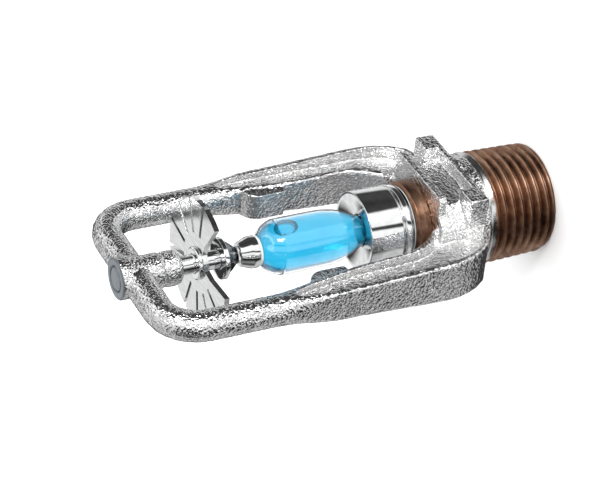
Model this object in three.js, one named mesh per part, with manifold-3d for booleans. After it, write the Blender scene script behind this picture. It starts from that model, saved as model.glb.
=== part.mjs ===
// Automatic fire sprinkler head: cast yoke frame with a 1/2 inch pipe thread, a glass bulb
// between a valve cap and a load screw, and a slotted deflector carried inside the yoke.
//
// Millimetres. The origin is the centre of the threaded inlet face. +Z runs along the axis
// towards the nose of the yoke. The two yoke arms lie at +X and -X.

import * as THREE from 'three';
import { mergeVertices } from 'three/addons/utils/BufferGeometryUtils.js';
import Module from 'manifold-3d';

const wasm = await Module();
wasm.setup();

// ---------------------------------------------------------------- driving dimensions

const TAU = Math.PI * 2;
const RUNNING_GAP = 0.06;        // radial clearance of a screw in its own hole
const FACE_GAP = 0.3;            // gap where a turning piece bears on a still one

// Inlet shank, 1/2-14 tapered pipe thread
const THREAD_PITCH = 1.814;
const THREAD_R_INLET = 10.36;    // major radius at the inlet face
const THREAD_TAPER = 1 / 32;     // radius gained per unit of length
const THREAD_DEPTH = 1.15;
const THREAD_ROWS_PER_PITCH = 5;
const THREAD_END_Z = 13.6;
const INLET_CHAMFER = 0.9;
const SHANK_TOP_Z = 14.2;
const BORE_R = 6.35;
const INLET_MOUTH_R = 7.2;

// Wrench boss
const BOSS_NECK_R = 10.7;
const FLANGE_Z = 16.2;
const FLANGE_TOP_Z = 17.5;
const FLANGE_HALF_X = 11.4;
const FLANGE_HALF_Y = 10.3;
const EAR_TOP_Z = 20.0;
const EAR_INNER_X = 6.9;
const EAR_INNER_Y = 4.0;
const WAIST_HALF_X = 11.0;
const WAIST_HALF_Y = 7.8;        // wrench flats across 15.6
const WAIST_CHAMFER = 3.6;
const RIB_Z = 23.5;
const RIB_HALF_X = 8.7;
const RIB_HALF_Y = 10.0;
const BOSS_TOP_Z = 25.0;

// Yoke
const CASTING_SPLIT_Z = 27.0;    // the casting is held as two meshes that meet here
const BAR_R = 2.9;               // round bar of the crown and upper arms
const ARM_CENTRE_X = 17.7;
const ARM_OUTER_X = 20.6;
const CROWN_Z = 81.3;
const CROWN_BEND_R = 6.6;
const ARM_LOFT_TOP_Z = 66.0;
const RECESS_FLOOR_Y = 1.7;      // half thickness of the web between the two rims
const LUG_LOW_Z = 45.5;
const LUG_HIGH_Z = 54.0;
const LUG_FACE_X = 12.3;

// Nose boss
const NOSE_TOP_Z = 84.8;
const NOSE_COLLAR_Z = 72.6;
const NOSE_HOLE_R = 2.36;

// Orifice, seal and valve cap
const RING_BORE_R = 5.6;
const RING_SEAT_R = 6.9;
const RING_RIM_R = 7.7;
const RING_LOW_Z = 20.0;
const RING_TOP_Z = 28.0;
const FILM_T = 0.2;
const DISC_SPRING_T = 0.6;
const CAP_TOP_Z = 29.9;
const CUP_R = 7.5;
const CUP_TOP_Z = 37.3;

// Bulb
const BULB_R = 5.25;
const GLASS_T = 0.6;
const SEAT_LOW_Z = 57.5;
const SEAT_TOP_Z = 61.0;
const SEAT_R = 3.0;

// Load screw and deflector
const SCREW_THREAD_R = NOSE_HOLE_R - RUNNING_GAP;
const STEM_R = 1.78;
const STEM_HOLE_R = STEM_R + 0.05;
const STEM_TOP_Z = 72.9;
const WASHER_R = 3.9;
const WASHER_Z = 64.0;
const WASHER_T = 0.9;
const DEFLECTOR_R = 12.3;
const DEFLECTOR_Z = 68.0;
const DEFLECTOR_T = 1.0;
const SLOT_COUNT = 13;
const SLOT_FIRST_DEG = -10;
const SLOT_ROOT_R = 5.7;
const SLOT_HALF_WIDTH = 0.4;
const NOTCH_FIRST_SLOT = 4;      // the two tines after this slot are absent
const NOTCH_TINES = 2;
const NOTCH_ROOT_R = 3.4;
const COLLAR_R = 3.1;
const COLLAR_T = 0.75;

// ---------------------------------------------------------------- materials

function material(color, roughness, metalness, extra = {}) {
  return new THREE.MeshStandardMaterial({ color, roughness, metalness, ...extra });
}

const castChrome = material(0xc9cacb, 0.32, 1.0);
const polishedChrome = material(0xe2e3e4, 0.08, 1.0);
const bareBronze = material(0x9a5f3c, 0.38, 1.0);
const darkSteel = material(0x55565a, 0.35, 1.0);
const clearGlass = material(0xdff4ff, 0.02, 0.0, { transparent: true, opacity: 0.35 });
const blueLiquid = material(0x2fb4ea, 0.05, 0.0);
const whiteCushion = material(0xe9e9e4, 0.6, 0.0);
const sealFilmGrey = material(0xb9c4c4, 0.5, 0.0);

// ---------------------------------------------------------------- solids

function toManifold(geometry) {
  const merged = orientedOut(geometry);
  const triVerts = Uint32Array.from(merged.index.array);
  const vertProperties = Float32Array.from(merged.attributes.position.array);
  return new wasm.Manifold(new wasm.Mesh({ numProp: 3, vertProperties, triVerts }));
}

function fromManifold(solid) {
  const mesh = solid.getMesh();
  const geometry = new THREE.BufferGeometry();
  geometry.setAttribute('position', new THREE.BufferAttribute(mesh.vertProperties, 3));
  geometry.setIndex(new THREE.BufferAttribute(mesh.triVerts, 1));
  geometry.computeVertexNormals();
  return geometry;
}

function joined(geometries) {
  return geometries.map(toManifold).reduce((whole, piece) => whole.add(piece));
}

// A solid of revolution about Z. The points are [radius, z] pairs.
function turned(points, segments = 36) {
  const profile = points.map(([r, z]) => new THREE.Vector2(r, z));
  const geometry = new THREE.LatheGeometry(profile, segments);
  geometry.rotateX(Math.PI / 2);
  return orientedOut(geometry);
}

// A ring of revolution: the outline of its section, listed once, closes on itself.
function turnedRing(points, segments = 36) {
  return turned([...points, points[0]], segments);
}

function toIndexed(geometry) {
  const bare = geometry.clone();
  bare.deleteAttribute('normal');
  bare.deleteAttribute('uv');
  return mergeVertices(bare, 1e-4);
}

// Turns the triangles round when the enclosed volume comes out negative.
function orientedOut(source) {
  const geometry = toIndexed(source);
  const index = geometry.index.array;
  const position = geometry.attributes.position;
  const a = new THREE.Vector3();
  const b = new THREE.Vector3();
  const c = new THREE.Vector3();
  let volume = 0;
  for (let i = 0; i < index.length; i += 3) {
    a.fromBufferAttribute(position, index[i]);
    b.fromBufferAttribute(position, index[i + 1]);
    c.fromBufferAttribute(position, index[i + 2]);
    volume += a.dot(b.cross(c));
  }
  if (volume < 0) {
    for (let i = 0; i < index.length; i += 3) {
      [index[i + 1], index[i + 2]] = [index[i + 2], index[i + 1]];
    }
  }
  return geometry;
}

function cylinder(radius, low, high, segments = 36) {
  return turned([[0, low], [radius, low], [radius, high], [0, high]], segments);
}

function slab(halfX, halfY, low, high) {
  const geometry = new THREE.BoxGeometry(halfX * 2, halfY * 2, high - low);
  geometry.translate(0, 0, (low + high) / 2);
  return geometry;
}

// Extrudes an outline drawn in X and Y upwards from one height to another.
function raised(shape, low, high) {
  const options = { depth: high - low, bevelEnabled: false, curveSegments: 8 };
  const geometry = new THREE.ExtrudeGeometry(shape, options);
  geometry.translate(0, 0, low);
  return geometry;
}

// Extrudes an outline drawn in X and Z across the frame, between two values of Y.
function across(shape, lowY, highY) {
  const options = { depth: highY - lowY, bevelEnabled: false, curveSegments: 8 };
  const geometry = new THREE.ExtrudeGeometry(shape, options);
  geometry.rotateX(Math.PI / 2);
  geometry.translate(0, highY, 0);
  return geometry;
}

function smoothstep(edge0, edge1, value) {
  const t = THREE.MathUtils.clamp((value - edge0) / (edge1 - edge0), 0, 1);
  return t * t * (3 - 2 * t);
}

// ---------------------------------------------------------------- frame: threaded shank

// Height of the thread flank, 0 at the root and 1 at the crest, of a right-hand helix.
function threadHeight(angle, z) {
  const turns = z / THREAD_PITCH - angle / TAU;
  const phase = turns - Math.floor(turns);
  const ridge = 1 - Math.abs(phase * 2 - 1);
  return THREE.MathUtils.clamp(ridge * 1.3 - 0.15, 0, 1);
}

function threadRadius(angle, z) {
  const major = THREAD_R_INLET + z * THREAD_TAPER;
  const runOut = 1 - smoothstep(THREAD_END_Z - THREAD_PITCH, THREAD_END_Z, z);
  const lead = smoothstep(0, INLET_CHAMFER, z);
  const depth = THREAD_DEPTH * (1 - threadHeight(angle, z));
  const rim = major - THREAD_DEPTH / 2;
  return THREE.MathUtils.lerp(rim, major - depth * Math.max(runOut, 0.35), lead);
}

function frameShank() {
  const rows = Math.round(SHANK_TOP_Z / THREAD_PITCH * THREAD_ROWS_PER_PITCH);
  const profile = [[INLET_MOUTH_R, 0]];
  for (let row = 0; row <= rows; row += 1) {
    const z = SHANK_TOP_Z * row / rows;
    profile.push([THREAD_R_INLET, z]);
  }
  profile.push([BORE_R, SHANK_TOP_Z], [BORE_R, INLET_MOUTH_R - BORE_R]);
  const geometry = turnedRing(profile, 36);
  const position = geometry.attributes.position;
  for (let i = 0; i < position.count; i += 1) {
    const x = position.getX(i);
    const y = position.getY(i);
    const z = position.getZ(i);
    const radius = Math.hypot(x, y);
    if (radius > THREAD_R_INLET - 0.5) {
      const target = threadRadius(Math.atan2(y, x), z);
      position.setXYZ(i, x * target / radius, y * target / radius, z);
    }
  }
  return geometry;
}

// ---------------------------------------------------------------- frame: boss and yoke

function chamferedRectangle(halfX, halfY, chamfer) {
  const shape = new THREE.Shape();
  shape.moveTo(-halfX + chamfer, -halfY);
  shape.lineTo(halfX - chamfer, -halfY);
  shape.lineTo(halfX, -halfY + chamfer);
  shape.lineTo(halfX, halfY - chamfer);
  shape.lineTo(halfX - chamfer, halfY);
  shape.lineTo(-halfX + chamfer, halfY);
  shape.lineTo(-halfX, halfY - chamfer);
  shape.lineTo(-halfX, -halfY + chamfer);
  shape.closePath();
  return shape;
}

function bossBlock() {
  const neck = cylinder(BOSS_NECK_R, SHANK_TOP_Z, FLANGE_Z + 0.1);
  const flange = raised(chamferedRectangle(FLANGE_HALF_X, FLANGE_HALF_Y, 0.9), FLANGE_Z, FLANGE_TOP_Z);
  const waistShape = chamferedRectangle(WAIST_HALF_X, WAIST_HALF_Y, WAIST_CHAMFER);
  const waist = raised(waistShape, FLANGE_Z, BOSS_TOP_Z);
  const rib = raised(chamferedRectangle(RIB_HALF_X, RIB_HALF_Y, 0.6), RIB_Z, BOSS_TOP_Z);
  const pieces = [neck, flange, waist, rib];
  for (const sideX of [-1, 1]) {
    for (const sideY of [-1, 1]) {
      const halfX = (FLANGE_HALF_X - EAR_INNER_X) / 2;
      const halfY = (FLANGE_HALF_Y - EAR_INNER_Y) / 2;
      const ear = slab(halfX, halfY, FLANGE_Z, EAR_TOP_Z);
      const centreX = sideX * (FLANGE_HALF_X + EAR_INNER_X) / 2;
      const centreY = sideY * (FLANGE_HALF_Y + EAR_INNER_Y) / 2;
      ear.translate(centreX, centreY, 0);
      pieces.push(ear);
    }
  }
  return joined(pieces);
}

// Inner and outer edge of an arm at a height, as distances from the axis.
function armInnerX(z) {
  const upper = THREE.MathUtils.lerp(13.5, ARM_CENTRE_X - BAR_R, smoothstep(40, 56, z));
  const root = smoothstep(25, 34, z);
  return THREE.MathUtils.lerp(8, upper, Math.sqrt(root));
}

function armOuterX(z) {
  const rise = THREE.MathUtils.clamp((29 - z) / 12.8, 0, 1);
  return ARM_OUTER_X - 9 * (1 - Math.sqrt(1 - rise * rise));
}

function armHalfThickness(z) {
  if (z < 25) {
    return THREE.MathUtils.lerp(4.5, 4.3, (z - 16) / 9);
  }
  if (z < 45) {
    return THREE.MathUtils.lerp(4.3, 3.3, (z - 25) / 20);
  }
  return THREE.MathUtils.lerp(3.3, BAR_R, smoothstep(45, 60, z));
}

// One arm, lofted upwards: a boxy section at the boss that turns round towards the crown.
function armBar(side) {
  const low = FLANGE_Z;
  const rows = 22;
  const height = ARM_LOFT_TOP_Z - low;
  const geometry = toIndexed(new THREE.CylinderGeometry(1, 1, height, 24, rows));
  geometry.rotateX(Math.PI / 2);
  geometry.translate(0, 0, low + height / 2);
  const position = geometry.attributes.position;
  for (let i = 0; i < position.count; i += 1) {
    const z = position.getZ(i);
    const inner = armInnerX(z);
    const outer = armOuterX(z);
    const squareness = THREE.MathUtils.lerp(0.16, 1, smoothstep(50, 62, z));
    const u = position.getX(i);
    const v = position.getY(i);
    const x = (inner + outer) / 2 + Math.sign(u) * Math.abs(u) ** squareness * (outer - inner) / 2;
    const y = Math.sign(v) * Math.abs(v) ** squareness * armHalfThickness(z);
    position.setXY(i, x * side, y);
  }
  return orientedOut(geometry);
}

// The pocket in an arm's side face, between its inner and outer rims.
function recessOutline(side) {
  const shape = new THREE.Shape();
  shape.moveTo(side * 9.6, 23.6);
  shape.bezierCurveTo(side * 9.6, 18.8, side * 14, 17.6, side * 16, 19.6);
  shape.bezierCurveTo(side * 18.4, 22, side * 19.1, 25, side * 19.1, 29);
  shape.lineTo(side * 19.1, 52);
  shape.bezierCurveTo(side * 19, 58.6, side * 17.2, 58.6, side * 16.6, 55.5);
  shape.bezierCurveTo(side * 15.4, 48, side * 14.6, 44, side * 14.6, 38);
  shape.bezierCurveTo(side * 14.6, 30, side * 13.4, 26.5, side * 9.6, 26.4);
  shape.closePath();
  return shape;
}

function armRecesses() {
  const cutters = [];
  for (const side of [-1, 1]) {
    cutters.push(across(recessOutline(side), -6, -RECESS_FLOOR_Y));
    cutters.push(across(recessOutline(side), RECESS_FLOOR_Y, 6));
  }
  return joined(cutters);
}

// The low pad on the inner face of an arm, beside the middle of the bulb.
function armLug(side) {
  const shape = new THREE.Shape();
  shape.moveTo(side * 16.2, LUG_LOW_Z - 0.2);
  shape.lineTo(side * (LUG_FACE_X + 0.5), LUG_LOW_Z);
  shape.quadraticCurveTo(side * LUG_FACE_X, LUG_LOW_Z, side * LUG_FACE_X, LUG_LOW_Z + 0.6);
  shape.lineTo(side * LUG_FACE_X, LUG_HIGH_Z - 3.4);
  shape.quadraticCurveTo(side * (LUG_FACE_X + 0.2), LUG_HIGH_Z - 0.8, side * 16.2, LUG_HIGH_Z);
  shape.closePath();
  return across(shape, -2.7, 2.7);
}

class CrownPath extends THREE.CurvePath {
  constructor() {
    super();
    const bendX = ARM_CENTRE_X - CROWN_BEND_R;
    const bendZ = CROWN_Z - CROWN_BEND_R;
    const k = CROWN_BEND_R * 0.5523;
    const point = (x, z) => new THREE.Vector3(x, 0, z);
    this.add(new THREE.LineCurve3(point(ARM_CENTRE_X, ARM_LOFT_TOP_Z - 3), point(ARM_CENTRE_X, bendZ)));
    this.add(new THREE.CubicBezierCurve3(
      point(ARM_CENTRE_X, bendZ),
      point(ARM_CENTRE_X, bendZ + k),
      point(bendX + k, CROWN_Z),
      point(bendX, CROWN_Z),
    ));
    this.add(new THREE.LineCurve3(point(bendX, CROWN_Z), point(-bendX, CROWN_Z)));
    this.add(new THREE.CubicBezierCurve3(
      point(-bendX, CROWN_Z),
      point(-bendX - k, CROWN_Z),
      point(-ARM_CENTRE_X, bendZ + k),
      point(-ARM_CENTRE_X, bendZ),
    ));
    this.add(new THREE.LineCurve3(point(-ARM_CENTRE_X, bendZ), point(-ARM_CENTRE_X, ARM_LOFT_TOP_Z - 3)));
  }
}

function crownBar() {
  const section = new THREE.Shape();
  section.absarc(0, 0, BAR_R, 0, TAU, false);
  const options = { steps: 40, extrudePath: new CrownPath(), bevelEnabled: false, curveSegments: 9 };
  return new THREE.ExtrudeGeometry(section, options);
}

function noseBoss() {
  return turned([
    [0, NOSE_COLLAR_Z],
    [2.7, NOSE_COLLAR_Z],
    [3.2, NOSE_COLLAR_Z + 0.6],
    [3.35, NOSE_COLLAR_Z + 1.4],
    [3.3, NOSE_COLLAR_Z + 2.9],
    [3.1, NOSE_COLLAR_Z + 3.3],
    [3.4, NOSE_COLLAR_Z + 4.0],
    [3.4, CROWN_Z - 1.5],
    [4.0, CROWN_Z + 1.6],
    [4.0, NOSE_TOP_Z - 0.3],
    [3.8, NOSE_TOP_Z],
    [0, NOSE_TOP_Z],
  ], 32);
}

function casting() {
  const yoke = joined([armBar(-1), armBar(1), armLug(-1), armLug(1), crownBar(), noseBoss()]);
  const waterway = toManifold(cylinder(BORE_R, SHANK_TOP_Z - 1, BOSS_TOP_Z + 1));
  const ringSeat = toManifold(cylinder(RING_SEAT_R, RING_LOW_Z, BOSS_TOP_Z + 1));
  const rimClearance = toManifold(cylinder(RING_RIM_R, BOSS_TOP_Z, CASTING_SPLIT_Z + 3));
  const screwHole = toManifold(cylinder(NOSE_HOLE_R, NOSE_COLLAR_Z - 1, NOSE_TOP_Z + 1, 24));
  return bossBlock()
    .add(yoke.subtract(armRecesses()))
    .subtract(waterway)
    .subtract(ringSeat)
    .subtract(rimClearance)
    .subtract(screwHole);
}

// ---------------------------------------------------------------- orifice and seal

function orificeRing() {
  return turnedRing([
    [RING_BORE_R, RING_LOW_Z],
    [RING_SEAT_R, RING_LOW_Z],
    [RING_SEAT_R, BOSS_TOP_Z],
    [RING_RIM_R, BOSS_TOP_Z],
    [RING_RIM_R, RING_TOP_Z - 0.5],
    [RING_RIM_R - 0.5, RING_TOP_Z],
    [RING_BORE_R, RING_TOP_Z],
  ]);
}

function sealFilm() {
  return turnedRing([
    [4.9, RING_TOP_Z],
    [7.0, RING_TOP_Z],
    [7.0, RING_TOP_Z + FILM_T],
    [4.9, RING_TOP_Z + FILM_T],
  ]);
}

function discSpring() {
  const low = RING_TOP_Z + FILM_T;
  const high = low + DISC_SPRING_T;
  return turnedRing([[4.6, low], [7.1, low], [7.1, high], [4.6, high]]);
}

function valveCap() {
  const flangeZ = RING_TOP_Z + FILM_T + DISC_SPRING_T;
  return turned([
    [0, 24.5],
    [3.6, 24.5],
    [4.5, 25.4],
    [4.5, flangeZ],
    [7.2, flangeZ],
    [7.35, flangeZ + 0.15],
    [7.35, CAP_TOP_Z - 0.15],
    [7.2, CAP_TOP_Z],
    [2.5, CAP_TOP_Z],
    [2.5, CAP_TOP_Z + 1.3],
    [0, CAP_TOP_Z + 1.3],
  ]);
}

function bulbCup() {
  const socketTop = CAP_TOP_Z + 1.6;
  return turned([
    [0, socketTop],
    [2.55, socketTop],
    [2.55, CAP_TOP_Z],
    [6.8, CAP_TOP_Z],
    [6.8, CAP_TOP_Z + 0.5],
    [7.3, CAP_TOP_Z + 0.6],
    [CUP_R, CAP_TOP_Z + 0.8],
    [CUP_R, CUP_TOP_Z - 0.15],
    [CUP_R - 0.15, CUP_TOP_Z],
    [CUP_R - 0.5, CUP_TOP_Z],
    [3.1, 36.3],
    [3.0, 36.1],
    [3.0, 33.4],
    [0, 33.4],
  ], 36);
}

// ---------------------------------------------------------------- glass bulb

// Outside of the bulb as [radius, z] from the sealed end up to the seat end.
const BULB_OUTSIDE = [
  [0.95, 34.2],
  [1.0, 34.9],
  [1.9, 35.4],
  [2.6, 35.9],
  [3.05, 36.5],
  [3.6, 37.6],
  [4.2, 39.0],
  [4.7, 40.6],
  [5.05, 42.4],
  [BULB_R, 44.6],
  [BULB_R, 52.4],
  [5.1, 53.6],
  [4.7, 54.7],
  [4.0, 55.7],
  [3.1, 56.5],
  [2.2, 56.95],
  [1.1, 57.2],
];
const BULB_TOP_Z = 57.3;
const FILL_HOLE_R = 0.45;

// The bulb's profile moved inwards by a wall thickness, square to the surface.
function insetProfile(distance) {
  const inset = [];
  for (let i = 2; i < BULB_OUTSIDE.length; i += 1) {
    const before = BULB_OUTSIDE[i - 1];
    const after = BULB_OUTSIDE[Math.min(i + 1, BULB_OUTSIDE.length - 1)];
    const along = new THREE.Vector2(after[0] - before[0], after[1] - before[1]).normalize();
    const [r, z] = BULB_OUTSIDE[i];
    inset.push([r - along.y * distance, z + along.x * distance]);
  }
  return inset;
}

function bulbGlass() {
  const inside = insetProfile(GLASS_T).reverse();
  return turned([
    [0, BULB_TOP_Z - GLASS_T],
    ...inside,
    [FILL_HOLE_R, inside.at(-1)[1] - 0.1],
    [FILL_HOLE_R, BULB_OUTSIDE[0][1]],
    ...BULB_OUTSIDE,
    [0, BULB_TOP_Z],
  ], 24);
}

function bulbLiquid() {
  const skin = insetProfile(GLASS_T + 0.06);
  return turned([[0, skin[0][1] + 0.02], ...skin, [0, BULB_TOP_Z - GLASS_T - 0.06]], 24);
}

function bulbSealTip() {
  const stemR = FILL_HOLE_R - RUNNING_GAP;
  return turned([
    [0, 33.7],
    [0.7, 33.7],
    [0.85, 34.1],
    [stemR, 34.15],
    [stemR, 35.2],
    [0, 35.2],
  ], 16);
}

function cushionRing() {
  return turnedRing([[2.35, 56.98], [2.85, 56.98], [2.85, SEAT_LOW_Z], [2.35, SEAT_LOW_Z]], 32);
}

function bulbSeat() {
  return turned([
    [0, SEAT_LOW_Z + 0.7],
    [2.2, SEAT_LOW_Z + 0.7],
    [2.4, SEAT_LOW_Z],
    [SEAT_R, SEAT_LOW_Z],
    [SEAT_R, SEAT_LOW_Z + 1.2],
    [2.3, SEAT_TOP_Z - 0.4],
    [2.1, SEAT_TOP_Z],
    [1.7, SEAT_TOP_Z],
    [1.0, SEAT_TOP_Z - 0.35],
    [0, SEAT_TOP_Z - 0.35],
  ], 32);
}

// ---------------------------------------------------------------- load screw and deflector

function pressureCone() {
  const socketLow = WASHER_Z - 1.6;
  return turned([
    [0, SEAT_TOP_Z + FACE_GAP - 0.2],
    [0.9, SEAT_TOP_Z + FACE_GAP - 0.2],
    [1.5, SEAT_TOP_Z + FACE_GAP],
    [1.65, SEAT_TOP_Z + FACE_GAP + 0.3],
    [2.75, WASHER_Z - 1.1],
    [3.2, WASHER_Z - 0.4],
    [3.3, WASHER_Z],
    [STEM_HOLE_R, WASHER_Z],
    [STEM_HOLE_R, socketLow],
    [0, socketLow],
  ], 24);
}

function flangeWasher() {
  return turnedRing([
    [STEM_HOLE_R, WASHER_Z],
    [WASHER_R - 0.1, WASHER_Z],
    [WASHER_R, WASHER_Z + 0.1],
    [WASHER_R, WASHER_Z + WASHER_T - 0.1],
    [WASHER_R - 0.1, WASHER_Z + WASHER_T],
    [STEM_HOLE_R, WASHER_Z + WASHER_T],
  ], 32);
}

function loadScrew() {
  return turned([
    [0, WASHER_Z - 1.55],
    [STEM_R, WASHER_Z - 1.55],
    [STEM_R, STEM_TOP_Z],
    [SCREW_THREAD_R, STEM_TOP_Z + 0.3],
    [SCREW_THREAD_R, NOSE_TOP_Z - 0.2],
    [SCREW_THREAD_R - 0.2, NOSE_TOP_Z],
    [0, NOSE_TOP_Z],
  ], 24);
}

function polar(radius, angle) {
  return new THREE.Vector2(radius * Math.cos(angle), radius * Math.sin(angle));
}

// Flat disc with radial slots, and a wide notch where two tines are absent.
function deflectorPlate() {
  const step = TAU / SLOT_COUNT;
  const points = [];
  for (let tine = 0; tine < SLOT_COUNT; tine += 1) {
    const from = THREE.MathUtils.degToRad(SLOT_FIRST_DEG) - step * tine;
    const to = from - step;
    const inNotch = tine >= NOTCH_FIRST_SLOT && tine < NOTCH_FIRST_SLOT + NOTCH_TINES;
    if (inNotch) {
      points.push(polar(NOTCH_ROOT_R, from - step * 0.1), polar(NOTCH_ROOT_R, to + step * 0.1));
      continue;
    }
    const rootAngle = SLOT_HALF_WIDTH / SLOT_ROOT_R;
    const rimAngle = SLOT_HALF_WIDTH / DEFLECTOR_R;
    points.push(polar(SLOT_ROOT_R, from - rootAngle));
    for (let i = 0; i <= 4; i += 1) {
      const angle = THREE.MathUtils.lerp(from - rimAngle, to + rimAngle, i / 4);
      points.push(polar(DEFLECTOR_R, angle));
    }
    points.push(polar(SLOT_ROOT_R, to + rootAngle));
  }
  const shape = new THREE.Shape(points.reverse());
  const hole = new THREE.Path();
  hole.absarc(0, 0, STEM_HOLE_R, 0, TAU, true);
  shape.holes.push(hole);
  return raised(shape, DEFLECTOR_Z, DEFLECTOR_Z + DEFLECTOR_T);
}

function deflectorCollar() {
  const low = DEFLECTOR_Z + DEFLECTOR_T;
  return turnedRing([
    [STEM_HOLE_R, low],
    [COLLAR_R, low],
    [COLLAR_R, low + COLLAR_T - 0.25],
    [COLLAR_R - 0.3, low + COLLAR_T],
    [STEM_HOLE_R, low + COLLAR_T],
  ], 28);
}

// ---------------------------------------------------------------- assembly

const sprinkler = new THREE.Group();

function place(name, geometry, surface) {
  const mesh = new THREE.Mesh(geometry, surface);
  mesh.name = name;
  sprinkler.add(mesh);
}

const frameCasting = casting();
const lowerHalf = toManifold(slab(30, 30, SHANK_TOP_Z, CASTING_SPLIT_Z));
const upperHalf = toManifold(slab(30, 30, CASTING_SPLIT_Z, NOSE_TOP_Z + 5));

place('frame_shank', frameShank(), bareBronze);
place('frame_boss', fromManifold(frameCasting.intersect(lowerHalf)), castChrome);
place('frame_yoke', fromManifold(frameCasting.intersect(upperHalf)), castChrome);
place('orifice_ring', orificeRing(), bareBronze);
place('seal_film', sealFilm(), sealFilmGrey);
place('disc_spring', discSpring(), darkSteel);
place('valve_cap', valveCap(), polishedChrome);
place('bulb_cup', bulbCup(), polishedChrome);
place('bulb_glass', bulbGlass(), clearGlass);
place('bulb_liquid', bulbLiquid(), blueLiquid);
place('bulb_seal_tip', bulbSealTip(), clearGlass);
place('bulb_cushion_ring', cushionRing(), whiteCushion);
place('bulb_seat', bulbSeat(), polishedChrome);
place('pressure_cone', pressureCone(), darkSteel);
place('flange_washer', flangeWasher(), polishedChrome);
place('load_screw', loadScrew(), polishedChrome);
place('deflector', deflectorPlate(), polishedChrome);
place('deflector_collar', deflectorCollar(), polishedChrome);

export default sprinkler;
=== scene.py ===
"""Fire sprinkler head: plated casting, bare bronze thread, liquid-filled glass bulb."""

import math

import bmesh
import bpy
from mathutils import Matrix, Vector, noise


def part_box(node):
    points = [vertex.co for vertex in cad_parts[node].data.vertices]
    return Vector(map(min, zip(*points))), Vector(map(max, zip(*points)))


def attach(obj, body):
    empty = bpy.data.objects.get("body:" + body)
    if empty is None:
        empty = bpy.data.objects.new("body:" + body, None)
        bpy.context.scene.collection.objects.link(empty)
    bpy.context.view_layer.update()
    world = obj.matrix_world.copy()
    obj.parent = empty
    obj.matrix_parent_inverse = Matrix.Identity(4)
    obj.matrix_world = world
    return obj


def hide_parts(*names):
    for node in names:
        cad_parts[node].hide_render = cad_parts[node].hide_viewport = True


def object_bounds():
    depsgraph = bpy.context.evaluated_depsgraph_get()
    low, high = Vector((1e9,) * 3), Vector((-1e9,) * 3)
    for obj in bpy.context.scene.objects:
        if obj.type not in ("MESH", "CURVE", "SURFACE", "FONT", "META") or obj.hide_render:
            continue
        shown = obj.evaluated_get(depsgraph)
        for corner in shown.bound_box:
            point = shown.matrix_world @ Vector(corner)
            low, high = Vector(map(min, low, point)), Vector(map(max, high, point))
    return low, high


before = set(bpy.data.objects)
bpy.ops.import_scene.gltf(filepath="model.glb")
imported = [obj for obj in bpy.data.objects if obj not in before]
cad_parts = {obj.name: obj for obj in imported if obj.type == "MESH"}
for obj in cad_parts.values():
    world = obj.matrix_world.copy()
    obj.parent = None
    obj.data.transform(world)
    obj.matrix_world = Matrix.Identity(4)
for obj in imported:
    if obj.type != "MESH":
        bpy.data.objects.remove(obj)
cad_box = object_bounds()

MM = 0.001
TAU = 2 * math.pi
TINY = 1e-6                # millimetres


# ------------------------------------------------------------------ node helpers

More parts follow.
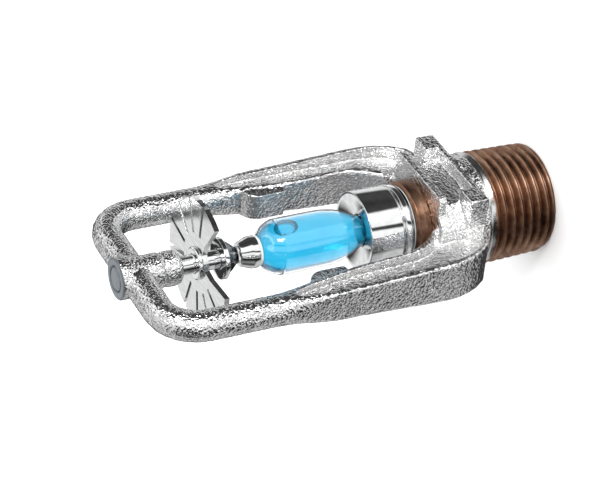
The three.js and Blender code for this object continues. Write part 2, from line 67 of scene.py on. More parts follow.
class Nodes:
    """A material's node tree with short calls for the nodes used here."""

    def __init__(self, name):
        self.material = bpy.data.materials.new(name)
        self.material.use_nodes = True
        self.tree = self.material.node_tree
        self.shader = self.tree.nodes["Principled BSDF"]
        self.coords = self.tree.nodes.new("ShaderNodeTexCoord").outputs["Object"]

    def link(self, source, target):
        self.tree.links.new(source, target)

    def put(self, target, value):
        if isinstance(value, bpy.types.NodeSocket):
            self.link(value, target)
        else:
            target.default_value = value

    def noise(self, scale, detail=3.0, roughness=0.5, stretch=None):
        node = self.tree.nodes.new("ShaderNodeTexNoise")
        node.inputs["Scale"].default_value = scale
        node.inputs["Detail"].default_value = detail
        node.inputs["Roughness"].default_value = roughness
        source = self.coords
        if stretch:
            mapping = self.tree.nodes.new("ShaderNodeMapping")
            mapping.inputs["Scale"].default_value = stretch
            self.link(self.coords, mapping.inputs["Vector"])
            source = mapping.outputs["Vector"]
        self.link(source, node.inputs["Vector"])
        return node.outputs["Fac"]

    def voronoi(self, scale):
        node = self.tree.nodes.new("ShaderNodeTexVoronoi")
        node.feature = "SMOOTH_F1"
        node.inputs["Scale"].default_value = scale
        node.inputs["Smoothness"].default_value = 0.7
        self.link(self.coords, node.inputs["Vector"])
        return node.outputs["Distance"]

    def math(self, operation, a, b=0.0):
        node = self.tree.nodes.new("ShaderNodeMath")
        node.operation = operation
        self.put(node.inputs[0], a)
        self.put(node.inputs[1], b)
        return node.outputs[0]

    def ramp(self, value, low, high, low_out=0.0, high_out=1.0):
        node = self.tree.nodes.new("ShaderNodeMapRange")
        node.inputs["From Min"].default_value = low
        node.inputs["From Max"].default_value = high
        node.inputs["To Min"].default_value = low_out
        node.inputs["To Max"].default_value = high_out
        self.link(value, node.inputs["Value"])
        return node.outputs["Result"]

    def mix(self, factor, a, b):
        node = self.tree.nodes.new("ShaderNodeMix")
        node.data_type = "RGBA"
        self.put(node.inputs["Factor"], factor)
        self.put(node.inputs[6], a)
        self.put(node.inputs[7], b)
        return node.outputs[2]

    def position(self, axis):
        node = self.tree.nodes.new("ShaderNodeSeparateXYZ")
        self.link(self.coords, node.inputs[0])
        return node.outputs[axis]

    def radius(self):
        split = self.tree.nodes.new("ShaderNodeSeparateXYZ")
        self.link(self.coords, split.inputs[0])
        xx = self.math("MULTIPLY", split.outputs[0], split.outputs[0])
        yy = self.math("MULTIPLY", split.outputs[1], split.outputs[1])
        return self.math("SQRT", self.math("ADD", xx, yy))

    def bump(self, height, strength, distance, under=None):
        node = self.tree.nodes.new("ShaderNodeBump")
        node.inputs["Strength"].default_value = strength
        node.inputs["Distance"].default_value = distance
        self.link(height, node.inputs["Height"])
        if under:
            self.link(under, node.inputs["Normal"])
        return node.outputs["Normal"]

    def set(self, **values):
        for key, value in values.items():
            self.put(self.shader.inputs[key.replace("_", " ")], value)
        return self.material


# ------------------------------------------------------------------ materials

def cast_chrome():
    n = Nodes("cast_chrome")
    lumps = n.noise(1500, detail=2.0, roughness=0.5)
    pits = n.voronoi(2300)
    grain = n.noise(4200, detail=3.0, roughness=0.6)
    patches = n.noise(160, detail=3.0, roughness=0.6)
    coarse = n.bump(lumps, 0.65, 0.34 * MM)
    pitted = n.bump(pits, 0.70, 0.22 * MM, coarse)
    fine = n.bump(grain, 0.35, 0.06 * MM, pitted)
    tone = n.mix(n.ramp(patches, 0.35, 0.7), (0.80, 0.80, 0.805, 1), (0.95, 0.95, 0.945, 1))
    # Painted shade: the base colour is darkened, up to 30 % towards dark grey, in the hollows of
    # the pits.
    tone = n.mix(n.ramp(pits, 0.30, 0.05, 0.0, 0.30), tone, (0.34, 0.34, 0.345, 1))
    rough = n.ramp(grain, 0.3, 0.75, 0.07, 0.20)
    return n.set(Base_Color=tone, Metallic=1.0, Roughness=rough, Normal=fine)


def turned_chrome(name, light, dark, low, high, marks=0.05):
    n = Nodes(name)
    rings = n.noise(60, detail=2.0, roughness=0.5, stretch=(2.0, 2.0, 160.0))
    smears = n.noise(700, detail=3.0, roughness=0.55)
    tone = n.mix(n.ramp(smears, 0.3, 0.75), dark, light)
    rough = n.ramp(smears, 0.3, 0.8, low, high)
    waves = n.bump(rings, marks, 0.05 * MM)
    uneven = n.bump(n.noise(350, detail=1.0), 0.10, 0.10 * MM, waves)
    return n.set(Base_Color=tone, Metallic=1.0, Roughness=rough, Normal=uneven)


def flat_brushed(name, light, dark, low, high):
    n = Nodes(name)
    scratches = n.noise(500, detail=4.0, roughness=0.65, stretch=(1.0, 7.0, 1.0))
    tone = n.mix(n.ramp(scratches, 0.3, 0.75), dark, light)
    rough = n.ramp(scratches, 0.25, 0.8, low, high)
    waves = n.bump(scratches, 0.16, 0.05 * MM)
    uneven = n.bump(n.noise(300, detail=1.0), 0.16, 0.16 * MM, waves)
    return n.set(Base_Color=tone, Metallic=1.0, Roughness=rough, Normal=uneven)


def bronze(name, shade_full_radius, shade_free_radius, plated_from=None):
    n = Nodes(name)
    stain = n.noise(420, detail=5.0, roughness=0.65)
    streaks = n.noise(260, detail=4.0, roughness=0.6, stretch=(1.0, 1.0, 5.0))
    grain = n.noise(4200, detail=3.0, roughness=0.6)
    body = n.mix(n.ramp(stain, 0.32, 0.70), (0.20, 0.095, 0.058, 1), (0.50, 0.29, 0.185, 1))
    body = n.mix(n.ramp(streaks, 0.48, 0.72, 0.0, 0.55), body, (0.66, 0.47, 0.35, 1))
    # Painted shade: the colour darkens 60 % towards near-black towards the axis, in the thread
    # roots and on the inner part of the orifice ring.
    shade_free = n.ramp(n.radius(), shade_full_radius * MM, shade_free_radius * MM)
    tone = n.mix(shade_free, n.mix(0.6, body, (0.06, 0.026, 0.016, 1)), body)
    rough = n.ramp(stain, 0.3, 0.75, 0.28, 0.46)
    if plated_from:
        ragged = n.math("MULTIPLY", n.noise(900, detail=4.0, roughness=0.7), 1.6 * MM)
        edge = n.math("ADD", n.position(2), ragged)
        plated = n.ramp(edge, (plated_from + 0.75) * MM, (plated_from + 0.95) * MM)
        tone = n.mix(plated, tone, (0.72, 0.72, 0.72, 1))
        rough = n.math("SUBTRACT", rough, n.math("MULTIPLY", plated, 0.16))
    normal = n.bump(stain, 0.25, 0.12 * MM, n.bump(grain, 0.4, 0.04 * MM))
    return n.set(Base_Color=tone, Metallic=1.0, Roughness=rough, Normal=normal)


def bulb_glass_look():
    n = Nodes("bulb_glass")
    ripple = n.bump(n.noise(180, detail=1.0), 0.04, 0.10 * MM)
    tint = n.mix(n.ramp(n.noise(250), 0.3, 0.7), (0.96, 0.99, 1.0, 1), (1.0, 1.0, 1.0, 1))
    return n.set(Base_Color=tint, Roughness=0.0, IOR=1.47, Transmission_Weight=1.0, Normal=ripple)


def liquid_look():
    n = Nodes("bulb_liquid")
    depth = n.ramp(n.noise(140, detail=2.0), 0.3, 0.7)
    tint = n.mix(depth, (0.020, 0.48, 0.78, 1), (0.04, 0.56, 0.84, 1))
    return n.set(Base_Color=tint, Roughness=0.0, IOR=1.36, Transmission_Weight=0.80)


def bubble_look():
    """Air inside the liquid: a glass surface whose inside is the thinner medium."""
    n = Nodes("bulb_bubble")
    clear = n.tree.nodes.new("ShaderNodeBsdfGlass")
    clear.inputs["IOR"].default_value = 0.74
    clear.inputs["Roughness"].default_value = 0.0
    tint = n.mix(n.ramp(n.noise(400), 0.3, 0.7), (0.93, 0.98, 1.0, 1), (1, 1, 1, 1))
    n.link(tint, clear.inputs["Color"])
    n.link(clear.outputs[0], n.tree.nodes["Material Output"].inputs["Surface"])
    n.tree.nodes.remove(n.shader)
    return n.material


def paper_white(name, colour):
    n = Nodes(name)
    fibres = n.noise(2600, detail=4.0, roughness=0.6)
    darker = tuple(c * 0.8 for c in colour[:3]) + (1,)
    tone = n.mix(n.ramp(fibres, 0.3, 0.7), darker, colour)
    return n.set(Base_Color=tone, Roughness=0.6, Normal=n.bump(fibres, 0.3, 0.05 * MM))


CHROME_LIGHT = (0.90, 0.905, 0.91, 1)
CHROME_DARK = (0.74, 0.745, 0.75, 1)
CAST = cast_chrome()
POLISHED = turned_chrome("polished_chrome", CHROME_LIGHT, CHROME_DARK, 0.03, 0.10)
GUNMETAL = turned_chrome(
    "dark_steel", (0.33, 0.34, 0.36, 1), (0.17, 0.175, 0.185, 1), 0.12, 0.26, marks=0.12)
STEEL_END = turned_chrome(
    "machined_end", (0.40, 0.43, 0.46, 1), (0.24, 0.27, 0.30, 1), 0.30, 0.46, marks=0.1)
PLATE = flat_brushed("deflector_plate", CHROME_LIGHT, (0.66, 0.665, 0.67, 1), 0.07, 0.20)
# The two radii bound the painted shade: full below the first, none from the second.
THREAD = bronze("bare_bronze", 9.3, 10.3, plated_from=13.0)
RING = bronze("ring_bronze", 6.6, 9.6)
GLASS = bulb_glass_look()
LIQUID = liquid_look()
BUBBLE = bubble_look()
CUSHION = paper_white("cushion_ring", (0.80, 0.80, 0.77, 1))
FILM = paper_white("seal_film", (0.62, 0.68, 0.68, 1))


# ------------------------------------------------------------------ mesh helpers

def keep(obj, body, node, *looks, slot=None, smooth=True):
    """Links a new piece, gives it its looks, and makes it stand for CAD nodes."""
    if obj.name not in bpy.context.scene.collection.objects:
        bpy.context.scene.collection.objects.link(obj)
    for look in looks:
        obj.data.materials.append(look)
    for polygon in obj.data.polygons:
        polygon.use_smooth = smooth
    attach(obj, body)
    if node:
        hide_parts(*([node] if isinstance(node, str) else node))


def rounded(points, fillet, steps=3):
    """A profile in which each inner corner becomes a short arc."""
    out = [points[0]]
    for before, corner, after in zip(points, points[1:], points[2:]):
        b, c, a = Vector(before), Vector(corner), Vector(after)
        reach = min(fillet, (b - c).length * 0.45, (a - c).length * 0.45)
        if (b - c).length < TINY or (a - c).length < TINY or c.x < TINY:
            out.append(corner)
            continue
        start = c + (b - c).normalized() * reach
        stop = c + (a - c).normalized() * reach
        for i in range(steps + 1):
            t = i / steps
            out.append(tuple(start * (1 - t) ** 2 + c * (2 * t * (1 - t)) + stop * t ** 2))
    out.append(points[-1])
    return out


def revolve(name, profile, segments=96, closed=False):
    """A solid of revolution about Z from [radius, z] pairs in millimetres."""
    bm = bmesh.new()
    rings = []
    for r, z in profile:
        if r < TINY:
            rings.append([bm.verts.new((0, 0, z * MM))])
            continue
        angles = (TAU * k / segments for k in range(segments))
        rings.append([
            bm.verts.new((r * MM * math.cos(a), r * MM * math.sin(a), z * MM)) for a in angles
        ])
    pairs = list(zip(rings, rings[1:]))
    if closed:
        pairs.append((rings[-1], rings[0]))
    for lower, upper in pairs:
        for k in range(segments):
            j = (k + 1) % segments
            corners = [
                lower[k % len(lower)], lower[j % len(lower)],
                upper[j % len(upper)], upper[k % len(upper)],
            ]
            unique = list(dict.fromkeys(corners))
            if len(unique) > 2:
                bm.faces.new(unique)
    bmesh.ops.recalc_face_normals(bm, faces=bm.faces)
    mesh = bpy.data.meshes.new(name)
    bm.to_mesh(mesh)
    bm.free()
    return bpy.data.objects.new(name, mesh)


def ring_solid(name, profile, fillet, segments=96):
    """A ring of revolution whose section is a closed outline with softened corners."""
    soft = rounded([profile[-1], *profile, profile[0]], fillet)[1:-1]
    return revolve(name, soft, segments, closed=True)


def copy_of(*nodes):
    """One new object holding the meshes of these CAD nodes."""
    bm = bmesh.new()
    for node in nodes:
        bm.from_mesh(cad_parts[node].data)
    mesh = bpy.data.meshes.new("copy")
    bm.to_mesh(mesh)
    bm.free()
    obj = bpy.data.objects.new("copy", mesh)
    bpy.context.scene.collection.objects.link(obj)
    return obj


def apply_modifiers(obj):
    graph = bpy.context.evaluated_depsgraph_get()
    graph.update()
    mesh = bpy.data.meshes.new_from_object(obj.evaluated_get(graph))
    obj.modifiers.clear()
    obj.data = mesh


def soften_edges(obj, width, angle=30):
    bevel = obj.modifiers.new("bevel", "BEVEL")
    bevel.width = width * MM
    bevel.segments = 3
    bevel.limit_method = "ANGLE"
    bevel.angle_limit = math.radians(angle)
    apply_modifiers(obj)


# ------------------------------------------------------------------ the casting

VOXEL = 0.22
WELD = 2e-6
RIDGE_SCALE = 1 / (0.8 * MM)
PEBBLE_SCALE = 1 / (2.6 * MM)
RIDGE_HEIGHT = 0.04
PEBBLE_HEIGHT = 0.035
RELIEF_SINK = 0.03         # moves the relief inwards, so that its peaks stay near the CAD surface
NOSE_MACHINED = 0.35       # depth of the smooth end of the nose
NOSE_END_FACE = 0.25
PAD_HALF_WIDTH = 7
PAD_LOW = 18
PAD_HIGH = 23
PAD_RELIEF = 0.35          # share of the relief on the smoother boss pad


def casting_relief(co):
    """Height of the as-cast skin, in millimetres, at a point of the casting."""
    pebbles = noise.noise(co * PEBBLE_SCALE)
    ridges = noise.noise(co * RIDGE_SCALE)
    return PEBBLE_HEIGHT * pebbles + RIDGE_HEIGHT * ridges


def weld_at_height(mesh, height):
    """Drops the two coinciding walls at a height, and joins what they divided."""
    bm = bmesh.new()
    bm.from_mesh(mesh)
    bmesh.ops.remove_doubles(bm, verts=bm.verts, dist=WELD)
    walls = [f for f in bm.faces if all(abs(v.co.z - height) < WELD for v in f.verts)]
    bmesh.ops.delete(bm, geom=walls, context="FACES_ONLY")
    bm.to_mesh(mesh)
    bm.free()


def frame_casting():
    obj = copy_of("frame_boss", "frame_yoke")
    obj.name = "frame_casting"
    weld_at_height(obj.data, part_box("frame_yoke")[0].z)
    remesh = obj.modifiers.new("voxels", "REMESH")
    remesh.mode = "VOXEL"
    remesh.voxel_size = VOXEL * MM
    smooth = obj.modifiers.new("soft", "SMOOTH")
    smooth.factor = 0.5
    smooth.iterations = 5
    apply_modifiers(obj)
    nose_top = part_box("frame_yoke")[1].z
    normals = [Vector(normal.vector) for normal in obj.data.vertex_normals]
    moved = []
    for vertex, normal in zip(obj.data.vertices, normals):
        co = vertex.co.copy()
        machined = co.z > nose_top - NOSE_MACHINED * MM
        pad = abs(co.x) < PAD_HALF_WIDTH * MM and PAD_LOW * MM < co.z < PAD_HIGH * MM
        share = 0.0 if machined else PAD_RELIEF if pad else 1.0
        moved.extend(co + normal * (casting_relief(co) - RELIEF_SINK) * share * MM)
    obj.data.vertices.foreach_set("co", moved)
    obj.data.update()
    keep(obj, "frame", ("frame_boss", "frame_yoke"), CAST, STEEL_END, slot="cast_chrome")
    for polygon in obj.data.polygons:
        if polygon.center.z > nose_top - NOSE_END_FACE * MM:
            polygon.material_index = 1


# ------------------------------------------------------------------ the threaded shank

PITCH = 1.814
R_INLET = 10.36
TAPER = 1 / 32
DEPTH = 1.15
THREAD_END = 13.6
SHANK_TOP = 14.2
BORE = 6.35
MOUTH = 7.2
MOUTH_CHAMFER = 0.4
LEAD_IN = 0.9
RUN_OUT_LEAST = 0.35
RIDGE_GAIN = 1.22          # with RIDGE_SINK, flattens the crests and the roots
RIDGE_SINK = 0.11
THREAD_ROWS = 118
THREAD_SEGMENTS = 144


def smoothstep(low, high, value):
    t = min(max((value - low) / (high - low), 0.0), 1.0)
    return t * t * (3 - 2 * t)


def thread_radius(angle, z):
    """Radius of a right-hand tapered pipe thread with a run-out at its upper end."""
    turns = z / PITCH - angle / TAU
    phase = turns - math.floor(turns)
    ridge = min(max((1 - abs(phase * 2 - 1)) * RIDGE_GAIN - RIDGE_SINK, 0.0), 1.0)
    major = R_INLET + z * TAPER
    run_out = max(1 - smoothstep(THREAD_END - PITCH, THREAD_END, z), RUN_OUT_LEAST)
    lead = smoothstep(0, LEAD_IN, z)
    rim = major - DEPTH / 2
    flank = major - DEPTH * (1 - ridge) * run_out
    return rim + (flank - rim) * lead


def thread_shank():
    bm = bmesh.new()
    rings = []

    def ring(radius_at, z):
        points = []
        for k in range(THREAD_SEGMENTS):
            a = TAU * k / THREAD_SEGMENTS
            r = radius_at(a)
            points.append(bm.verts.new((r * MM * math.cos(a), r * MM * math.sin(a), z * MM)))
        rings.append(points)

    ring(lambda a: MOUTH, 0.02)
    ring(lambda a: MOUTH + MOUTH_CHAMFER, 0.0)
    for row in range(THREAD_ROWS + 1):
        z = SHANK_TOP * row / THREAD_ROWS
        ring(lambda a, z=z: thread_radius(a, z), z)
    ring(lambda a: BORE, SHANK_TOP)
    ring(lambda a: BORE, MOUTH - BORE)
    for lower, upper in zip(rings, rings[1:] + rings[:1]):
        for k in range(THREAD_SEGMENTS):
            j = (k + 1) % THREAD_SEGMENTS
            bm.faces.new((lower[k], lower[j], upper[j], upper[k]))
    bmesh.ops.recalc_face_normals(bm, faces=bm.faces)
    mesh = bpy.data.meshes.new("thread_shank")
    bm.to_mesh(mesh)
    bm.free()
    shank = bpy.data.objects.new("thread_shank", mesh)
    keep(shank, "frame", "frame_shank", THREAD, slot="bare_bronze")


# ------------------------------------------------------------------ seat and valve cap

def seat_pieces():
    ring_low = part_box("orifice_ring")[0].z / MM
    ring_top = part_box("orifice_ring")[1].z / MM
    ring = ring_solid("orifice_ring_turned", [
        (5.6, ring_low), (6.9, ring_low), (6.9, ring_low + 5), (7.7, ring_low + 5),
        (7.7, ring_top - 0.5), (7.2, ring_top), (5.6, ring_top),
    ], 0.15)
    keep(ring, "frame", "orifice_ring", RING, slot="bare_bronze")
    film = ring_solid("seal_film_sheet", [
        (4.9, ring_top), (7.0, ring_top), (7.0, ring_top + 0.2), (4.9, ring_top + 0.2),
    ], 0.05)
    keep(film, "train", "seal_film", FILM, slot="seal_film")
    low, high = (corner.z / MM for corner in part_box("disc_spring"))
    spring = ring_solid("disc_spring_turned", [
        (4.6, low), (7.1, low), (7.1, high), (4.6, high),
    ], 0.14)
    keep(spring, "train", "disc_spring", GUNMETAL, slot="dark_steel")
    cap = revolve("valve_cap_turned", rounded([
        (0, 24.5), (3.6, 24.5), (4.5, 25.4), (4.5, high), (7.35, high), (7.35, 29.9),
        (2.5, 29.9), (2.5, 31.2), (0, 31.2),
    ], 0.18))
    keep(cap, "train", "valve_cap", POLISHED, slot="polished_chrome")
    cup = revolve("bulb_cup_turned", rounded([
        (0, 31.5), (2.55, 31.5), (2.55, 29.9), (6.8, 29.9), (6.8, 30.4), (7.5, 30.6),
        (7.5, 37.3), (7.0, 37.3), (3.1, 36.3), (3.0, 36.1), (3.0, 33.4), (0, 33.4),
    ], 0.22, 4), 128)
    keep(cup, "train", "bulb_cup", POLISHED, slot="polished_chrome")


# ------------------------------------------------------------------ glass bulb

BULB = [
    (0.95, 34.2), (1.0, 34.9), (1.9, 35.4), (2.6, 35.9), (3.05, 36.5), (3.6, 37.6),
    (4.2, 39.0), (4.7, 40.6), (5.05, 42.4), (5.25, 44.6), (5.25, 52.4), (5.1, 53.6),
    (4.7, 54.7), (4.0, 55.7), (3.1, 56.5), (2.2, 56.95), (1.1, 57.2),
]
BULB_TOP = 57.3
WALL = 0.3
SKIN_GAP = 0.02
BUBBLE_RADIUS = 1.5
BUBBLE_HALF_LENGTH = 2.2
BUBBLE_OFFSET = 3.2
BUBBLE_HEIGHT = 51.4
HOLE = 0.45


def spline(points, steps=5):
    """A smooth curve through [radius, z] pairs."""
    out = []
    ends = [points[0], *points, points[-1]]
    for a, b, c, d in zip(ends, ends[1:], ends[2:], ends[3:]):
        for i in range(steps):
            t = i / steps
            out.append(tuple(
                0.5 * (2 * q + (r - p) * t + (2 * p - 5 * q + 4 * r - s) * t * t
                       + (3 * q - p - 3 * r + s) * t ** 3)
                for p, q, r, s in zip(a, b, c, d)
            ))
    out.append(points[-1])
    return out


def inset(distance):
    """The bulb's profile moved inwards, square to the surface."""
    out = []
    for i in range(2, len(BULB)):
        before = Vector(BULB[i - 1])
        after = Vector(BULB[min(i + 1, len(BULB) - 1)])
        along = (after - before).normalized()
        out.append((BULB[i][0] - along.y * distance, BULB[i][1] + along.x * distance))
    return out


def bulb_pieces():
    inner = spline(inset(WALL))[::-1]
    outer = [BULB[0], *spline(BULB[1:])]
    glass = revolve("bulb_shell", [
        (0, BULB_TOP - WALL), *inner, (HOLE, inner[-1][1] - 0.1),
        (HOLE, BULB[0][1]), *outer, (0, BULB_TOP),
    ], 128)
    keep(glass, "train", "bulb_glass", GLASS, slot="clear_glass")
    skin = spline(inset(WALL + SKIN_GAP))
    liquid = revolve("bulb_fill", [
        (0, skin[0][1] + SKIN_GAP), *skin, (0, BULB_TOP - WALL - SKIN_GAP),
    ], 128)
    keep(liquid, "train", "bulb_liquid", LIQUID, slot="blue_liquid")
    tip = revolve("bulb_tip", rounded([
        (0, 33.7), (0.7, 33.7), (0.85, 34.1), (0.39, 34.15), (0.39, 35.2), (0, 35.2),
    ], 0.1), 48)
    keep(tip, "train", "bulb_seal_tip", GLASS, slot="clear_glass")


def bulb_bubble():
    """The air bubble that floats inside the liquid, off the axis."""
    bm = bmesh.new()
    bmesh.ops.create_icosphere(bm, subdivisions=4, radius=1.0)
    for vertex in bm.verts:
        x, y, z = vertex.co
        vertex.co = Vector((x * BUBBLE_RADIUS, y * BUBBLE_RADIUS, z * BUBBLE_HALF_LENGTH)) * MM
    mesh = bpy.data.meshes.new("bulb_bubble")
    bm.to_mesh(mesh)
    bm.free()
    obj = bpy.data.objects.new("bulb_bubble", mesh)
    bpy.context.scene.collection.objects.link(obj)
    outward = Vector((0.08, -1.0, 0)).normalized()
    obj.location = outward * BUBBLE_OFFSET * MM + Vector((0, 0, BUBBLE_HEIGHT * MM))
    bpy.context.view_layer.update()
    keep(obj, "train", None, BUBBLE, slot="blue_liquid")


# ------------------------------------------------------------------ bulb seat, screw, deflector

SCREW_END_FACE = 84.65
PLATE_WELD = 1e-6
PLATE_FLAT_ANGLE = 0.02
PLATE_EDGE = 0.16


def seat_and_screw():
    cushion = ring_solid("cushion_ring_pressed", [
        (2.35, 56.98), (2.85, 56.98), (2.85, 57.5), (2.35, 57.5),
    ], 0.12)
    keep(cushion, "train", "bulb_cushion_ring", CUSHION, slot="white_cushion")
    seat = revolve("bulb_seat_turned", rounded([
        (0, 58.2), (2.2, 58.2), (2.4, 57.5), (3.0, 57.5), (3.0, 58.7), (2.3, 60.6),
        (2.1, 61.0), (1.7, 61.0), (1.0, 60.65), (0, 60.65),
    ], 0.15))
    keep(seat, "train", "bulb_seat", POLISHED, slot="polished_chrome")
    cone = revolve("pressure_cone_turned", rounded([
        (0, 61.1), (0.9, 61.1), (1.5, 61.3), (1.65, 61.6), (2.75, 62.9), (3.2, 63.6),
        (3.3, 64.0), (1.83, 64.0), (1.83, 62.4), (0, 62.4),
    ], 0.12))
    keep(cone, "screw", "pressure_cone", GUNMETAL, slot="dark_steel")
    washer = ring_solid("flange_washer_turned", [
        (1.83, 64.0), (3.9, 64.0), (3.9, 64.9), (1.83, 64.9),
    ], 0.16)
    keep(washer, "screw", "flange_washer", POLISHED, slot="polished_chrome")
    collar = ring_solid("deflector_collar_turned", [
        (1.83, 69.0), (3.1, 69.0), (3.1, 69.5), (2.8, 69.75), (1.83, 69.75),
    ], 0.12)
    keep(collar, "screw", "deflector_collar", POLISHED, slot="polished_chrome")
    screw = revolve("load_screw_turned", rounded([
        (0, 62.45), (1.78, 62.45), (1.78, 72.9), (2.3, 73.2), (2.3, 84.6), (2.1, 84.8), (0, 84.8),
    ], 0.12))
    keep(screw, "screw", "load_screw", POLISHED, STEEL_END, slot="polished_chrome")
    for polygon in screw.data.polygons:
        if polygon.center.z > SCREW_END_FACE * MM:
            polygon.material_index = 1


def deflector_plate():
    obj = copy_of("deflector")
    obj.name = "deflector_plate"
    bm = bmesh.new()
    bm.from_mesh(obj.data)
    bmesh.ops.remove_doubles(bm, verts=bm.verts, dist=PLATE_WELD)
    bmesh.ops.dissolve_limit(bm, angle_limit=PLATE_FLAT_ANGLE, verts=bm.verts, edges=bm.edges)
    bm.to_mesh(obj.data)
    bm.free()
    soften_edges(obj, PLATE_EDGE)
    keep(obj, "screw", "deflector", PLATE, slot="polished_chrome", smooth=False)


frame_casting()
thread_shank()
seat_pieces()
bulb_pieces()
bulb_bubble()
seat_and_screw()
deflector_plate()


# ------------------------------------------------------------------ floor, light, camera

FLOOR_SIZE = 4.0
FLOOR_GAP = 0.02


def floor():
    bm = bmesh.new()
    bmesh.ops.create_grid(bm, x_segments=1, y_segments=1, size=FLOOR_SIZE)
    mesh = bpy.data.meshes.new("floor")
    bm.to_mesh(mesh)
    bm.free()
    obj = bpy.data.objects.new("floor", mesh)
    bpy.context.scene.collection.objects.link(obj)
    obj.location.z = cad_box[0].z - FLOOR_GAP * MM
    n = Nodes("floor_white")
    grain = n.noise(30)
    tone = n.mix(n.ramp(grain, 0.3, 0.7), (0.93, 0.93, 0.93, 1), (0.95, 0.95, 0.95, 1))
    obj.data.materials.append(n.set(Base_Color=tone, Roughness=0.9, Specular_IOR_Level=0.0))
    obj.visible_glossy = False


# The camera's axes and place, in the CAD frame, from a fit to the object's outline
TO_CAMERA = Vector((-0.71751, -0.57195, 0.39755))
IMAGE_RIGHT = Vector((-0.42728, -0.08933, -0.89970))
IMAGE_UP = Vector((0.55010, -0.81541, -0.18029))
CAMERA_AT = Vector((-364.05, -290.68, 250.10)) * MM
LENS = 166.56              # millimetres, like the sensor's width
SENSOR_WIDTH = 36
CLIP_NEAR = 0.01
CLIP_FAR = 20
STUDIO_STRENGTH = 1.25
FRONT_TO_BACK = 0.12       # half the width of the change from front stripes to back stripes
OVERHEAD_AT = (0.1, -0.1, 1.1)
OVERHEAD_SIZE = 1.8
OVERHEAD_POWER = 20
AIM_HEIGHT = 0.04
STRIP_TILT = 0.42          # radians from the line of sight towards the top of the picture
STRIP_DISTANCE = 0.45
STRIP_AIM_HEIGHT = 0.045
STRIP_LENGTH = 0.22
STRIP_WIDTH = 0.085
STRIP_POWER = 1.0


# Round glows: direction, cosine at the edge and at the core, light level.
# The first is where a level plate sends the line of sight, the second is overhead.
GLOWS = [
    (Vector((0.71751, 0.57195, 0.39755)), 0.93, 0.97, 0.72),
    (Vector((0, 0, 1)), 0.72, 0.95, 0.55),
]

# Light level at steps from the bottom (-1) to the top (1) of the picture
FRONT_STRIPES = [
    (-1, 0.22), (-0.84, 0.015), (-0.46, 0.015), (-0.34, 0.90), (-0.10, 0.95), (0.0, 0.05),
    (0.08, 0.05), (0.16, 0.95), (0.66, 1.05), (0.76, 0.05), (1, 0.03),
]
BACK_STRIPES = [
    (-1, 0.05), (-0.80, 0.50), (-0.58, 0.50), (-0.44, 0.04), (0.30, 0.04),
    (0.46, 0.72), (0.72, 0.66), (0.84, 0.05),
]


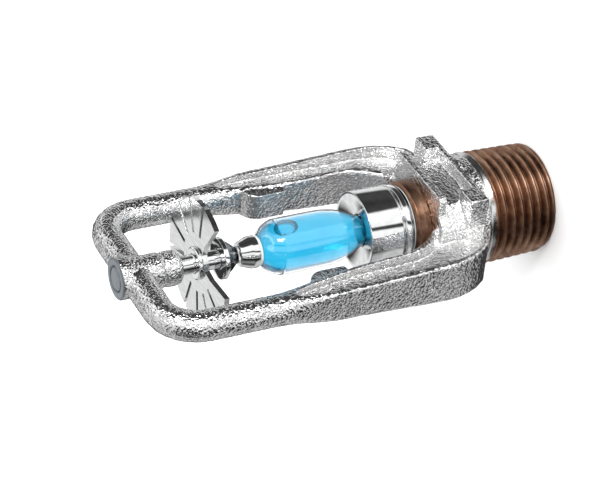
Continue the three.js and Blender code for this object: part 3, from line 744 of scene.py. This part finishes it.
def studio():
    """Bright and dark stripes of surrounding light, laid along the object's length."""
    world = bpy.data.worlds.new("studio")
    bpy.context.scene.world = world
    world.use_nodes = True
    tree = world.node_tree
    coords = tree.nodes.new("ShaderNodeTexCoord").outputs["Generated"]

    def along(direction, low, high):
        dot = tree.nodes.new("ShaderNodeVectorMath")
        dot.operation = "DOT_PRODUCT"
        dot.inputs[1].default_value = direction
        tree.links.new(coords, dot.inputs[0])
        spread = tree.nodes.new("ShaderNodeMapRange")
        spread.inputs["From Min"].default_value = low
        spread.inputs["From Max"].default_value = high
        tree.links.new(dot.outputs["Value"], spread.inputs["Value"])
        return spread.outputs["Result"]

    def stripes(stops):
        ramp = tree.nodes.new("ShaderNodeValToRGB")
        ramp.color_ramp.interpolation = "EASE"
        while len(ramp.color_ramp.elements) < len(stops):
            ramp.color_ramp.elements.new(0.5)
        for element, (place, level) in zip(ramp.color_ramp.elements, stops):
            element.position = (place + 1) / 2
            element.color = (level, level, level, 1)
        tree.links.new(along(IMAGE_UP, -1, 1), ramp.inputs["Fac"])
        return ramp.outputs["Color"]

    front = stripes(FRONT_STRIPES)
    back = stripes(BACK_STRIPES)
    mix = tree.nodes.new("ShaderNodeMix")
    mix.data_type = "RGBA"
    tree.links.new(along(TO_CAMERA, -FRONT_TO_BACK, FRONT_TO_BACK), mix.inputs["Factor"])
    tree.links.new(back, mix.inputs[6])
    tree.links.new(front, mix.inputs[7])
    surround = mix.outputs[2]
    for direction, edge, core, level in GLOWS:
        glow = tree.nodes.new("ShaderNodeMix")
        glow.data_type = "RGBA"
        tree.links.new(along(direction, edge, core), glow.inputs["Factor"])
        tree.links.new(surround, glow.inputs[6])
        glow.inputs[7].default_value = (level, level, level, 1)
        surround = glow.outputs[2]
    tree.links.new(surround, tree.nodes["Background"].inputs["Color"])
    tree.nodes["Background"].inputs["Strength"].default_value = STUDIO_STRENGTH


def soft_light(name, place, size, power):
    data = bpy.data.lights.new(name, "AREA")
    data.shape = "DISK"
    data.size = size
    data.energy = power
    obj = bpy.data.objects.new(name, data)
    bpy.context.scene.collection.objects.link(obj)
    obj.location = place
    obj.visible_glossy = False
    aim = Vector((0, 0, AIM_HEIGHT)) - Vector(place)
    obj.rotation_euler = aim.to_track_quat("-Z", "Y").to_euler()


def strip_light():
    """A narrow bright panel along the object, which draws the long glint on the glass."""
    data = bpy.data.lights.new("strip", "AREA")
    data.shape = "RECTANGLE"
    data.size = STRIP_LENGTH
    data.size_y = STRIP_WIDTH
    data.energy = STRIP_POWER
    obj = bpy.data.objects.new("strip", data)
    bpy.context.scene.collection.objects.link(obj)
    toward = (TO_CAMERA * math.cos(STRIP_TILT) + IMAGE_UP * math.sin(STRIP_TILT)).normalized()
    across = IMAGE_RIGHT
    strip_aim = Vector((0, 0, STRIP_AIM_HEIGHT))
    turn = Matrix((across, toward.cross(across), toward)).transposed().to_4x4()
    obj.matrix_world = Matrix.Translation(toward * STRIP_DISTANCE + strip_aim) @ turn


def camera():
    data = bpy.data.cameras.new("camera")
    data.lens = LENS
    data.sensor_width = SENSOR_WIDTH
    data.clip_start = CLIP_NEAR
    data.clip_end = CLIP_FAR
    obj = bpy.data.objects.new("camera", data)
    bpy.context.scene.collection.objects.link(obj)
    turn = Matrix((IMAGE_RIGHT, IMAGE_UP, TO_CAMERA)).transposed().to_4x4()
    obj.matrix_world = Matrix.Translation(CAMERA_AT) @ turn
    bpy.context.scene.camera = obj


floor()
studio()
soft_light("overhead", OVERHEAD_AT, OVERHEAD_SIZE, OVERHEAD_POWER)
strip_light()
bpy.context.scene.view_settings.view_transform = "Standard"
camera()
